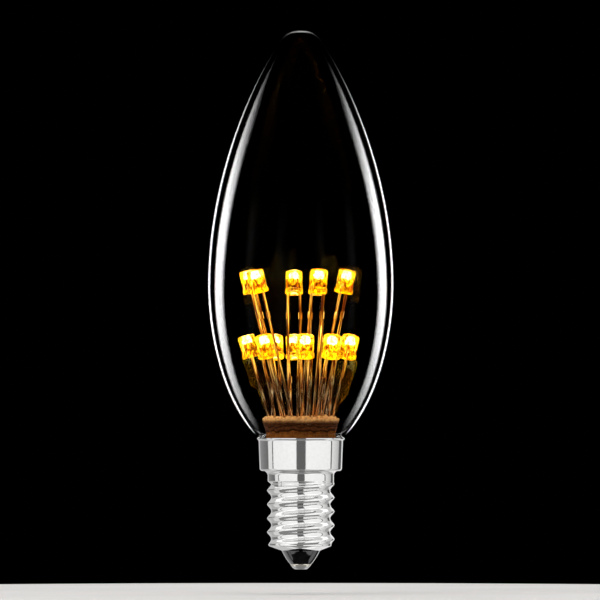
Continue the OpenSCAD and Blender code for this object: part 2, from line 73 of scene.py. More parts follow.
def around(radius: float, azimuth: float, height: float) -> Vector:
    """A point round the lamp's axis.

    Args:
        radius: Distance from the axis.
        azimuth: Degrees from the front towards the right.
        height: Distance above the tip contact.

    Returns:
        The point, in the unit of the radius.
    """
    turn = math.radians(azimuth)
    return Vector((radius * math.sin(turn), -radius * math.cos(turn), height))


def arc(centre: tuple[float, float], radius: float, start: float, end: float, steps: int) -> Outline:
    """Points along a circular arc of an outline.

    Args:
        centre: Radius and height of the arc's centre, in mm.
        radius: The arc's radius, in mm.
        start: Angle of the first point, in degrees.
        end: Angle of the last point, in degrees.
        steps: Number of equal parts.

    Returns:
        The points, both ends included.
    """
    angles = [math.radians(start + (end - start) * i / steps) for i in range(steps + 1)]
    return [(centre[0] + radius * math.cos(a), centre[1] + radius * math.sin(a)) for a in angles]


def bezier(points: Sequence[tuple[float, float]], steps: int) -> Outline:
    """Points along a cubic curve of an outline, without its first end.

    Args:
        points: The curve's four control points.
        steps: Number of parts.

    Returns:
        The points after the first one.
    """
    p = [Vector(point) for point in points]
    made = []
    for i in range(1, steps + 1):
        t = i / steps
        s = 1 - t
        made.append(s**3 * p[0] + 3 * s * s * t * p[1] + 3 * s * t * t * p[2] + t**3 * p[3])
    return [(point.x, point.y) for point in made]


def moved_in(outline: Outline, distance: float) -> Outline:
    """An open outline moved to its left, square to its own line.

    Args:
        outline: The points, in mm.
        distance: How far, in mm.

    Returns:
        As many points as before.
    """
    points = [Vector(point) for point in outline]
    moved = []
    for i, point in enumerate(points):
        along = (points[min(i + 1, len(points) - 1)] - points[max(i - 1, 0)]).normalized()
        moved.append((point.x - along.y * distance, point.y + along.x * distance))
    return moved


def lathe(outline: Outline, steps: int, closed: bool = False) -> bmesh.types.BMesh:
    """Spins an outline once round the lamp's axis.

    Args:
        outline: (radius, height) of each point, in mm.
        steps: Number of parts of the full turn.
        closed: Whether the last point joins the first.

    Returns:
        The spun mesh with its doubles merged and its faces turned outwards.
    """
    bm = bmesh.new()
    verts = [bm.verts.new((r * MM, 0, z * MM)) for r, z in outline]
    pairs = list(pairwise(verts)) + ([(verts[-1], verts[0])] if closed else [])
    edges = [bm.edges.new(pair) for pair in pairs]
    bmesh.ops.spin(
        bm,
        geom=verts + edges,
        cent=(0, 0, 0),
        axis=(0, 0, 1),
        angle=math.tau,
        steps=steps,
        use_merge=True,
    )
    bmesh.ops.remove_doubles(bm, verts=bm.verts, dist=1e-7)
    bmesh.ops.recalc_face_normals(bm, faces=bm.faces)
    return bm


def roughen(bm: bmesh.types.BMesh, size: float, depth: float, where: Callable[[Vector], float]) -> None:
    """Moves vertices along their normals by smooth noise.

    Args:
        bm: The mesh.
        size: Size of the lumps, in mm.
        depth: Largest move, in mm.
        where: Gives a share from 0 to 1 at a point in metres.
    """
    bm.normal_update()
    for vert in bm.verts:
        lump = noise.fractal(vert.co / (size * MM), 1.0, 2.0, 3)
        vert.co += vert.normal * (lump * depth * MM * where(vert.co))


def piece(
    bm: bmesh.types.BMesh,
    name: str,
    finishes: Sequence[bpy.types.Material],
    nodes: Iterable[str],
    sharp: float = 40,
) -> bpy.types.Object:
    """Makes an object of a mesh, dresses it and sets it in the frame.

    Args:
        bm: The mesh, which is freed.
        name: The piece's name.
        finishes: Its materials, in the order of its faces' numbers.
        nodes: The CAD nodes that it stands for.
        sharp: Edges that turn by more degrees than this stay sharp.

    Returns:
        The new object.
    """
    mesh = bpy.data.meshes.new(name)
    bm.to_mesh(mesh)
    bm.free()
    mesh.shade_smooth()
    mesh.set_sharp_from_angle(angle=math.radians(sharp))
    made = bpy.data.objects.new(name, mesh)
    bpy.context.scene.collection.objects.link(made)
    for finish in finishes:
        mesh.materials.append(finish)
    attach(made, "root")
    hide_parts(*nodes)
    log.info("%s: %d faces", name, len(mesh.polygons))
    return made


def dress(node: str, finish: bpy.types.Material) -> None:
    """Gives a CAD node its finish."""
    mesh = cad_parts[node].data
    mesh.materials.clear()
    mesh.materials.append(finish)
    log.info("%s: %s", node, finish.name)


# Finishes


class Graph:
    """A material's nodes, with short ways to add the kinds that the finishes share."""

    def __init__(self, name: str) -> None:
        """Starts an empty material of that name."""
        self.material = bpy.data.materials.new(name)
        self.material.use_nodes = True
        self.tree = self.material.node_tree
        self.tree.nodes.clear()
        self.output = self.node("ShaderNodeOutputMaterial")
        self.place = self.node("ShaderNodeTexCoord").outputs["Object"]

    def node(self, kind: str, **settings: object) -> bpy.types.Node:
        """Adds a node.

        Args:
            kind: Its type name.
            settings: Properties to set on it.

        Returns:
            The node.
        """
        made = self.tree.nodes.new(kind)
        for key, value in settings.items():
            setattr(made, key, value)
        return made

    def link(self, source: bpy.types.NodeSocket, target: bpy.types.NodeSocket) -> None:
        """Joins two sockets."""
        self.tree.links.new(source, target)

    def surface(self, colour: Colour, roughness: float, **values: object) -> bpy.types.Node:
        """Adds the main shader and joins it to the output.

        Args:
            colour: Base colour.
            roughness: Roughness.
            values: Other inputs by name, with an underscore for each space.

        Returns:
            The shader node.
        """
        shader = self.node("ShaderNodeBsdfPrincipled")
        shader.inputs["Base Color"].default_value = (*colour, 1)
        shader.inputs["Roughness"].default_value = roughness
        for key, value in values.items():
            shader.inputs[key.replace("_", " ")].default_value = value
        self.link(shader.outputs[0], self.output.inputs["Surface"])
        return shader

    def speckle(self, size: float, detail: float = 3, tall: float = 1) -> bpy.types.NodeSocket:
        """Noise on the piece's own coordinates.

        Args:
            size: Size of a speckle, in mm.
            detail: Octaves.
            tall: How many times higher than wide a speckle is.

        Returns:
            The noise, around 0.5.
        """
        made = self.node("ShaderNodeTexNoise")
        made.inputs["Scale"].default_value = 1 / (size * MM)
        made.inputs["Detail"].default_value = detail
        stretch = self.node("ShaderNodeMapping")
        stretch.inputs["Scale"].default_value = (1, 1, 1 / tall)
        self.link(self.place, stretch.inputs["Vector"])
        self.link(stretch.outputs[0], made.inputs["Vector"])
        return made.outputs["Fac"]

    def streaks(self, across: float, along: float) -> tuple[bpy.types.NodeSocket, bpy.types.NodeSocket]:
        """Long streaks on the piece's UV map, whose V runs along it.

        Args:
            across: Streaks for each unit of U.
            along: Streaks for each unit of V.

        Returns:
            The noise, around 0.5, and V.
        """
        uv = self.node("ShaderNodeUVMap", uv_map="along").outputs[0]
        split = self.node("ShaderNodeSeparateXYZ")
        self.link(uv, split.inputs[0])
        stretch = self.node("ShaderNodeMapping")
        stretch.inputs["Scale"].default_value = (across, along, 1)
        self.link(uv, stretch.inputs["Vector"])
        made = self.node("ShaderNodeTexNoise")
        made.inputs["Scale"].default_value = 1
        made.inputs["Detail"].default_value = 2
        self.link(stretch.outputs[0], made.inputs["Vector"])
        return made.outputs["Fac"], split.outputs["Y"]

    def blend(self, mode: str, first: bpy.types.NodeSocket, second: bpy.types.NodeSocket,
              share: float = 1.0) -> bpy.types.NodeSocket:
        """Blends two colours.

        Args:
            mode: Name of the blend in capitals.
            first: The lower colour.
            second: The upper colour.
            share: How much of the upper colour counts.

        Returns:
            The blended colour.
        """
        mix = self.node("ShaderNodeMix", data_type="RGBA", blend_type=mode)
        mix.inputs["Factor"].default_value = share
        self.link(first, mix.inputs[6])
        self.link(second, mix.inputs[7])
        return mix.outputs[2]

    def maths(self, operation: str, *values: object) -> bpy.types.NodeSocket:
        """Adds a sum, product or other operation.

        Args:
            operation: Its name in capitals.
            values: Sockets or numbers.

        Returns:
            The result.
        """
        made = self.node("ShaderNodeMath", operation=operation)
        for value, socket in zip(values, made.inputs):
            if isinstance(value, bpy.types.NodeSocket):
                self.link(value, socket)
            else:
                socket.default_value = value
        return made.outputs[0]

    def ramp(self, factor: bpy.types.NodeSocket, stops: Sequence[tuple[float, Colour]]) -> bpy.types.NodeSocket:
        """Colours a factor.

        Args:
            factor: A number from 0 to 1.
            stops: (place, colour) in rising order.

        Returns:
            The colour.
        """
        made = self.node("ShaderNodeValToRGB")
        elements = made.color_ramp.elements
        while len(elements) < len(stops):
            elements.new(1)
        for element, (place, colour) in zip(elements, stops):
            element.position = place
            element.color = (*colour, 1)
        self.link(factor, made.inputs["Fac"])
        return made.outputs["Color"]

    def level(self, low: float, high: float) -> bpy.types.NodeSocket:
        """How far up between two heights a point lies.

        Args:
            low: Height that gives 0, in mm.
            high: Height that gives 1, in mm.

        Returns:
            The share.
        """
        split = self.node("ShaderNodeSeparateXYZ")
        self.link(self.place, split.inputs[0])
        span = self.node("ShaderNodeMapRange")
        span.inputs["From Min"].default_value = low * MM
        span.inputs["From Max"].default_value = high * MM
        self.link(split.outputs["Z"], span.inputs["Value"])
        return span.outputs["Result"]

    def bump(self, shader: bpy.types.Node, height: bpy.types.NodeSocket, depth: float) -> None:
        """Gives a shader a relief.

        Args:
            shader: The shader node.
            height: The relief, from 0 to 1.
            depth: Its depth, in mm.
        """
        made = self.node("ShaderNodeBump")
        made.inputs["Strength"].default_value = 1
        made.inputs["Distance"].default_value = depth * MM
        self.link(height, made.inputs["Height"])
        self.link(made.outputs[0], shader.inputs["Normal"])

    def open_to_lamps(self, shader: bpy.types.Node, tint: Colour) -> None:
        """Lets the light of lamps through a shader of clear glass or epoxy.

        Args:
            shader: The shader that is seen.
            tint: Colour of the light that comes through.
        """
        clear = self.node("ShaderNodeBsdfTransparent")
        clear.inputs["Color"].default_value = (*tint, 1)
        path = self.node("ShaderNodeLightPath")
        mix = self.node("ShaderNodeMixShader")
        self.link(path.outputs["Is Shadow Ray"], mix.inputs[0])
        self.link(shader.outputs[0], mix.inputs[1])
        self.link(clear.outputs[0], mix.inputs[2])
        self.link(mix.outputs[0], self.output.inputs["Surface"])


@dataclass(frozen=True)
class PolishedMetal:
    """Plated or tinned metal with faint wear."""

    name: str
    colour: Colour
    roughness: float
    grain: float = 0.6
    spread: float = 0.04
    relief: float = 0.001

    def build(self) -> bpy.types.Material:
        """Makes the material."""
        graph = Graph(self.name)
        shader = graph.surface(self.colour, self.roughness, Metallic=1.0)
        fine = graph.speckle(self.grain)
        low, high = self.roughness - self.spread / 2, self.roughness + self.spread
        graph.link(graph.maths("MULTIPLY_ADD", fine, high - low, low), shader.inputs["Roughness"])
        dull = tuple(c * 0.965 for c in self.colour)
        graph.link(graph.ramp(fine, [(0.3, dull), (0.6, self.colour)]), shader.inputs["Base Color"])
        graph.bump(shader, graph.speckle(self.grain * 3, 1), self.relief)
        return graph.material


@dataclass(frozen=True)
class ClearGlass:
    """Blown clear glass."""

    name: str = "clear_blown_glass"
    index: float = 1.5
    gloss: float = 0.02

    def build(self) -> bpy.types.Material:
        """Makes the material."""
        graph = Graph(self.name)
        shader = graph.surface((1, 1, 1), 0.0, IOR=self.index, Transmission_Weight=1.0)
        shader.inputs["Specular Tint"].default_value = (self.gloss, self.gloss, self.gloss, 1)
        graph.open_to_lamps(shader, (0.97, 0.97, 0.97))
        return graph.material


@dataclass(frozen=True)
class AmberEpoxy:
    """Clear amber resin of a lit diode: yellow above, broken dark orange below."""

    name: str = "amber_epoxy"
    clear: Colour = (1.0, 0.72, 0.25)
    glow: float = 1.0

    def build(self) -> bpy.types.Material:
        """Makes the material; its UV map gives the share of the diode's height as V."""
        graph = Graph(self.name)
        shader = graph.surface(self.clear, 0.05, IOR=1.5, Transmission_Weight=1.0)
        uv = graph.node("ShaderNodeUVMap", uv_map="along")
        split = graph.node("ShaderNodeSeparateXYZ")
        graph.link(uv.outputs[0], split.inputs[0])
        wobble = graph.maths("MULTIPLY_ADD", graph.speckle(0.8, 3, 1.6), 1.3, -0.65)
        height = graph.maths("ADD", split.outputs["Y"], wobble)
        lit = graph.ramp(
            height,
            [
                (0.0, (0.85, 0.42, 0.0)),
                (0.1, (1.0, 0.8, 0.0)),
                (0.2, (0.35, 0.05, 0.0)),
                (0.36, (0.04, 0.003, 0.0)),
                (0.48, (0.5, 0.14, 0.0)),
                (0.56, (1.0, 0.88, 0.0)),
                (0.88, (1.0, 0.92, 0.03)),
                (1.0, (0.85, 0.14, 0.0)),
            ],
        )
        broken = graph.ramp(
            graph.speckle(0.36, 4, 2.4), [(0.41, (0.14, 0.04, 0.01)), (0.48, (0.75, 0.42, 0.3)), (0.54, (1.2, 1.2, 1.2))]
        )
        graph.link(graph.blend("MULTIPLY", lit, broken), shader.inputs["Emission Color"])
        shader.inputs["Emission Strength"].default_value = self.glow
        graph.open_to_lamps(shader, (1.0, 0.6, 0.16))
        return graph.material


@dataclass(frozen=True)
class LitResin:
    """The white-hot part of a lit diode, above its reflector cup."""

    name: str = "lit_resin"
    colour: Colour = (1.0, 0.97, 0.6)
    strength: float = 4.5

    def build(self) -> bpy.types.Material:
        """Makes the material."""
        graph = Graph(self.name)
        shader = graph.surface((1.0, 0.8, 0.4), 0.4)
        fine = graph.ramp(graph.speckle(0.5), [(0.38, (1.0, 0.8, 0.12)), (0.56, self.colour)])
        graph.link(fine, shader.inputs["Emission Color"])
        shader.inputs["Emission Strength"].default_value = self.strength
        return graph.material


@dataclass(frozen=True)
class LeadWithPaintedGlow:
    """Tinned stamped lead with long streaks, on which the light of its diode is painted as an orange glow with yellow
    glints.
    """

    name: str
    reach: float
    # Strength of the painted glow of the diodes' light on the lead.
    glow: float = 1.0

    def build(self) -> bpy.types.Material:
        """Makes the material; its UV map runs along the lead, from 0 at the board to 1 at the diode."""
        graph = Graph(self.name)
        shader = graph.surface((0.8, 0.74, 0.66), 0.2, Metallic=1.0)
        streak_and_glint, along = graph.streaks(6, 4)
        # Streaks of tone on the tin; their near-black and pale ends also paint dark and bright reflection lines along
        # the lead.
        graph.link(
            graph.ramp(streak_and_glint, [(0.44, (0.07, 0.02, 0.004)), (0.53, (0.4, 0.17, 0.04)), (0.62, (0.98, 0.88, 0.7))]),
            shader.inputs["Base Color"],
        )
        graph.link(graph.maths("MULTIPLY_ADD", streak_and_glint, 0.3, 0.08), shader.inputs["Roughness"])
        # Painted light of the diodes: an orange emission that rises from the board towards the diode.
        near = graph.ramp(
            along,
            [(0.0, (0.03, 0.01, 0.002)), (self.reach, (0.08, 0.028, 0.004)), (self.reach + 0.2, (0.6, 0.18, 0.006)),
             (1.0, (0.95, 0.27, 0.006))],
        )
        # Painted glints: bright yellow streaks in that painted glow.
        painted_glints = graph.ramp(streak_and_glint, [(0.43, (0.1, 0.04, 0.02)), (0.51, (0.6, 0.45, 0.4)), (0.6, (1.5, 2.6, 2.6))])
        graph.link(graph.blend("MULTIPLY", near, painted_glints), shader.inputs["Emission Color"])
        shader.inputs["Emission Strength"].default_value = self.glow
        graph.bump(shader, streak_and_glint, 0.01)
        return graph.material


@dataclass(frozen=True)
class BandedResin:
    """Brown moulded resin in mottled bands, each with a wavy edge; on the board the bands also hold painted light from
    the diodes above.
    """

    name: str
    low: float
    high: float
    bands: tuple[tuple[float, Colour], ...]
    wave: float = 0.32

    def build(self) -> bpy.types.Material:
        """Makes the material."""
        graph = Graph(self.name)
        shader = graph.surface((0.35, 0.2, 0.08), 0.9, Specular_IOR_Level=0.03)
        wave = graph.maths("MULTIPLY_ADD", graph.speckle(2.2), 2 * self.wave, -self.wave)
        height = graph.maths("ADD", graph.level(self.low, self.high), wave)
        band = graph.ramp(height, self.bands)
        mottle = graph.ramp(graph.speckle(0.5, 5), [(0.36, (0.4, 0.3, 0.25)), (0.6, (1.0, 1.0, 1.0))])
        graph.link(graph.blend("MULTIPLY", band, mottle, 0.7), shader.inputs["Base Color"])
        graph.bump(shader, graph.speckle(0.35, 4), 0.12)
        return graph.material


@dataclass(frozen=True)
class Coated:
    """Moulded, dipped, sleeved or printed surface with a speckle and a fine relief."""

    name: str
    colour: Colour
    other: Colour
    roughness: float
    size: float = 0.6
    relief: float = 0.02
    coat: float = 0.0

    def build(self) -> bpy.types.Material:
        """Makes the material."""
        graph = Graph(self.name)
        shader = graph.surface(self.colour, self.roughness, Coat_Weight=self.coat)
        patch = graph.speckle(self.size)
        graph.link(graph.ramp(patch, [(0.38, self.other), (0.6, self.colour)]), shader.inputs["Base Color"])
        graph.bump(shader, graph.speckle(self.size / 2), self.relief)
        return graph.material


# Sub-assemblies


@dataclass
class GlassEnvelope:
    """The blown candle-shaped glass, open at the neck that stands in the cap. Sizes in mm."""

    neck_r: float = 7.95
    neck_z: float = 20.65
    rim_z: float = 26.65
    belly_r: float = 19.0
    belly_z: float = 57.7
    tip_z: float = 109.5
    wall: float = 0.8
    turn_h: float = 2.2

    def bowl(self, out: float, up: float) -> tuple[float, float]:
        """A point below the belly from its shares of the way out and up."""
        return self.neck_r + (self.belly_r - self.neck_r) * out, self.rim_z + (self.belly_z - self.rim_z) * up

    def flame(self, out: float, up: float) -> tuple[float, float]:
        """A point above the belly from its shares of the way out and up."""
        return self.belly_r * out, self.belly_z + (self.tip_z - self.belly_z) * up

    def outline(self) -> Outline:
        """The outer line from the neck's foot to the tip."""
        start = self.bowl(0.145, 0.024)
        foot = (self.neck_r, start[1] - self.turn_h - 0.6)
        line = [(self.neck_r, self.neck_z), foot]
        line += bezier([foot, (self.neck_r, start[1] - self.turn_h * 0.65), (start[0] - 1.05, start[1] - 0.85), start], 10)
        line += bezier([start, self.bowl(0.71, 0.241), self.bowl(1, 0.659), self.bowl(1, 1)], 36)
        line += bezier([self.flame(1, 0), self.flame(1, 0.383), self.flame(0.62, 0.73), self.flame(0.29, 0.921)], 44)
        line += bezier([self.flame(0.29, 0.921), self.flame(0.21, 0.967), self.flame(0.163, 1), self.flame(0, 1)], 20)
        return line

    def build(self, finish: bpy.types.Material) -> bpy.types.Object:
        """Makes the closed shell.

        Args:
            finish: The glass.

        Returns:
            The piece.
        """
        outer = self.outline()
        inner = [point for point in moved_in(outer, self.wall) if point[0] > 0.02]
        inner.append((0.0, self.tip_z - self.wall))
        bm = lathe(outer[::-1] + inner, 144)
        return piece(bm, "glass_shell", [finish], ["glass_envelope"], sharp=60)


@dataclass
class ScrewCap:
    """The pressed cap with its rolled thread, the insulator and the tip contact. Sizes in mm."""

    thread_d: float = 13.7
    pitch: float = 2.822
    depth: float = 0.85
    crest_power: float = 0.8
    shell_z: float = 3.8
    first_crest: float = 2.33
    skirt_z: float = 20.0
    band_h: float = 2.0
    band_r: float = 6.72
    fade: float = 0.8
    foot_z: float = 4.95
    foot_rise: float = 1.0
    edge_r: float = 0.3
    wall: float = 0.25
    skirt_r: float = 8.35
    draft: float = 0.2
    flare: float = 0.35
    rim_z: float = 26.65
    rim_h: float = 0.7
    insulator_r: float = 3.9
    contact_r: float = 2.15
    contact_h: float = 1.05

    def thread_wave(self, height: float, turn: float) -> float:
        """Height of the rolled thread above its middle radius.

        Args:
            height: Height up the lamp, in mm.
            turn: Share of a turn round the axis.

        Returns:
            The distance outwards, in mm.
        """
        turns = (height - self.shell_z - self.first_crest) / self.pitch - turn
        way = 2 * abs(turns - round(turns))
        return self.depth / 2 * math.cos(math.pi * way**self.crest_power)

    def rolled(self, height: float) -> float:
        """How deep the thread is rolled at a height: 1 in full, 0 on the plain band above it."""
        share = max(0.0, min(1.0, (self.skirt_z - self.band_h - height) / self.fade))
        return share * share * (3 - 2 * share)

    def shell_outline(self) -> Outline:
        """The outer line of the sheet from the flared rim to the turned-in lower edge."""
        middle = (self.thread_d - self.depth) / 2
        top, foot = self.skirt_z - self.band_h, self.foot_z
        side, lip = self.skirt_r + self.draft, self.rim_z - 0.2
        line = [(side + self.flare, self.rim_z), (side + self.flare, lip)]
        line += bezier(
            [line[1], (side + self.flare * 0.4, lip - 0.1),
             (side, self.rim_z - self.rim_h * 0.65), (side, self.rim_z - self.rim_h)], 6)
        line += arc((self.skirt_r - 0.5, self.skirt_z + 0.5), 0.5, 0, -90, 8)
        line += arc((self.band_r + 1.0, self.skirt_z - 1.0), 1.0, 90, 180, 10)
        rows = 130
        for i in range(rows + 1):
            height = top + (foot - top) * i / rows
            line.append((self.band_r + (middle - self.band_r) * self.rolled(height), height))
        line += arc((middle - self.edge_r, foot), self.edge_r, -10, -60, 4)
        line.append((self.insulator_r, self.shell_z))
        return line

    def build_shell(self, finish: bpy.types.Material) -> bpy.types.Object:
        """Spins the sheet, rolls the thread into it and gives it its thickness."""
        bm = lathe(self.shell_outline(), 160)
        for vert in bm.verts:
            height = vert.co.z / MM
            share = self.rolled(height) * min(1.0, (height - self.shell_z) / (self.foot_z + self.foot_rise - self.shell_z))
            if share > 0:
                turn = math.atan2(vert.co.y, vert.co.x) / math.tau
                radial = Vector((vert.co.x, vert.co.y, 0)).normalized()
                vert.co += radial * (share * self.thread_wave(max(height, self.foot_z), turn) * MM)
        bmesh.ops.recalc_face_normals(bm, faces=bm.faces)
        middle = max(bm.faces, key=lambda face: face.calc_center_median().xy.length)
        if middle.normal.xy.dot(middle.calc_center_median().xy) < 0:
            bmesh.ops.reverse_faces(bm, faces=bm.faces)
        bmesh.ops.solidify(bm, geom=bm.faces, thickness=self.wall * MM)
        return piece(bm, "cap_shell", [finish], ["screw_shell"])

    def build_insulator(self, finish: bpy.types.Material) -> bpy.types.Object:
        """Makes the black glass cone with its flange and bore."""
        r, tip, foot, top = self.insulator_r, self.contact_r, self.contact_h, self.shell_z
        line = [(0.9, foot), (tip, foot)]
        line += bezier([(tip, foot), (tip + (r - tip) * 0.32, foot + (top - foot) * 0.2),
                        (tip + (r - tip) * 0.72, top - (top - foot) * 0.38), (r, top)], 20)
        line += [(r, top + 0.32), (5.3, top + 1.1), (5.3, 5.55), (0.9, 5.55)]
        return piece(lathe(line, 96, closed=True), "vitrite", [finish], ["cap_insulator"])

    def build_contact(self, brass: bpy.types.Material, solder: bpy.types.Material) -> None:
        """Makes the eyelet and the solder dome that closes it."""
        flat, wide, high, split = 1.2, self.contact_r, self.contact_h, 0.55
        centre = (wide**2 + high**2 - flat**2) / (2 * high)
        ball = math.hypot(flat, centre)
        angles = [math.asin((z - centre) / ball) for z in (0.0, split, high)]
        def cap(a: float, b: float, steps: int) -> Outline:
            """The ball's line between two angles."""
            return arc((0.0, centre), ball, math.degrees(a), math.degrees(b), steps)
        eyelet = [(0.45, split)] + cap(angles[1], angles[2], 8) + [(0.9, high), (0.9, 5.55), (0.45, 5.55)]
        piece(lathe(eyelet, 72, closed=True), "eyelet", [brass], ["contact_eyelet"])
        dome = [(0.0, 0.0), (flat * 0.5, 0.0)] + cap(angles[0], angles[1], 8) + [(0.0, split)]
        bm = lathe(dome, 72)
        roughen(bm, 1.1, 0.05, lambda place: 1.0 if place.z > 0.05 * MM else 0.0)
        piece(bm, "solder_dome", [solder], ["tip_solder"])


@dataclass
class DiodeCarrier:
    """The brown plug and board in the neck, with the glue round the leads. Sizes in mm."""

    board_r: float = 7.8
    board_top: float = 30.7
    board_t: float = 1.1
    taper: float = 0.9
    rise: float = 4.05
    plug_foot: float = 20.26
    rim_z: float = 26.65
    groove: float = 0.15

    def side(self, height: float) -> float:
        """Radius of the tapered side at a height."""
        return self.board_r - self.taper * (self.board_top - height) / self.rise

    def build_board(self, finish: bpy.types.Material) -> bpy.types.Object:
        """Makes the round board with its crumbled top edge."""
        foot, top = self.board_top - self.board_t, self.board_top
        line = [(0.0, foot), (self.side(foot) - 0.1, foot), (self.side(foot), foot + 0.08)]
        line += [(self.side(foot + 0.2 * i), foot + 0.2 * i) for i in range(1, 5)]
        line += [(self.board_r, top - 0.12), (self.board_r - 0.12, top)]
        line += [(self.board_r - 0.12 - 0.4 * i, top) for i in range(1, 19)] + [(0.0, top)]
        bm = lathe(line, 128)
        roughen(bm, 0.9, 0.16, lambda place: 1.0 if place.xy.length > 6.9 * MM else 0.3)
        return piece(bm, "board", [finish], ["diode_board"], sharp=70)

    def build_plug(self, finish: bpy.types.Material) -> bpy.types.Object:
        """Makes the tapered plug with two shallow grooves."""
        foot, top = self.plug_foot, self.board_top - self.board_t
        grooves = (top - 1.0, top - 2.0)
        line = [(0.0, foot), (self.side(self.rim_z), foot), (self.side(self.rim_z), self.rim_z)]
        steps = 28
        for i in range(1, steps + 1):
            height = self.rim_z + (top - self.rim_z) * i / steps
            dip = max(math.exp(-(((height - g) / 0.13) ** 2)) for g in grooves)
            line.append((self.side(height) - self.groove * dip, height))
        line.append((0.0, top))
        bm = lathe(line, 128)
        roughen(bm, 1.3, 0.1, lambda place: 1.0 if place.z > self.rim_z * MM else 0.0)
        return piece(bm, "plug", [finish], ["carrier_plug"], sharp=70)

    def build_glue(self, leads: Sequence[Vector], finish: bpy.types.Material) -> bpy.types.Object:
        """Makes the crumbly bed of glue and a lump round each lead.

        Args:
            leads: Where each lead meets the board, in metres.
            finish: The glue.

        Returns:
            The piece.
        """
        top = self.board_top
        line = [(0.0, top - 0.1), (7.2, top - 0.1), (7.3, top + 0.1)]
        line += [(7.1 - 0.35 * i, top + 0.3) for i in range(20)] + [(0.0, top + 0.3)]
        bm = lathe(line, 110)
        for i, lead in enumerate(leads):
            size = (0.62 + 0.16 * noise.noise(lead * 400)) * MM
            turn = Matrix.Rotation(i * 1.7, 4, "Z") @ Matrix.Diagonal((1.15, 0.9, 0.8, 1))
            bmesh.ops.create_icosphere(bm, subdivisions=3, radius=size, matrix=Matrix.Translation(lead) @ turn)
        roughen(bm, 0.5, 0.42, lambda place: 1.0 if place.z > (top + 0.05) * MM else 0.0)
        return piece(bm, "glue_bed", [finish], ["lead_glue"], sharp=180)


@dataclass(frozen=True)
class Stand:
    """Where one diode stands: the foot of its leads, its base and the way that its leads face."""

    node: str
    foot: Vector
    head: Vector
    faces: float

    def matrix(self) -> Matrix:
        """The place of the pair of leads, whose Z runs up to the diode."""
        run = self.head - self.foot
        turn = math.atan2(run.y, run.x)
        tilt = math.acos(run.z / run.length)
        spin = math.radians(self.faces) - turn
        turned = Matrix.Rotation(turn, 4, "Z") @ Matrix.Rotation(tilt, 4, "Y") @ Matrix.Rotation(spin, 4, "Z")
        return Matrix.Translation(self.foot * MM) @ turned

    def lead_foot(self, side: int, pitch: float, level: float) -> Vector:
        """Where the middle of a lead passes a level.

        Args:
            side: -1 or 1.
            pitch: Distance between the two leads, in mm.
            level: The height, in mm.

        Returns:
            The point, in metres.
        """
        place = self.matrix()
        start = place @ Vector((side * pitch / 2 * MM, 0, 0))
        along = place.to_3x3() @ Vector((0, 0, 1))
        return start + along * ((level * MM - start.z) / along.z)


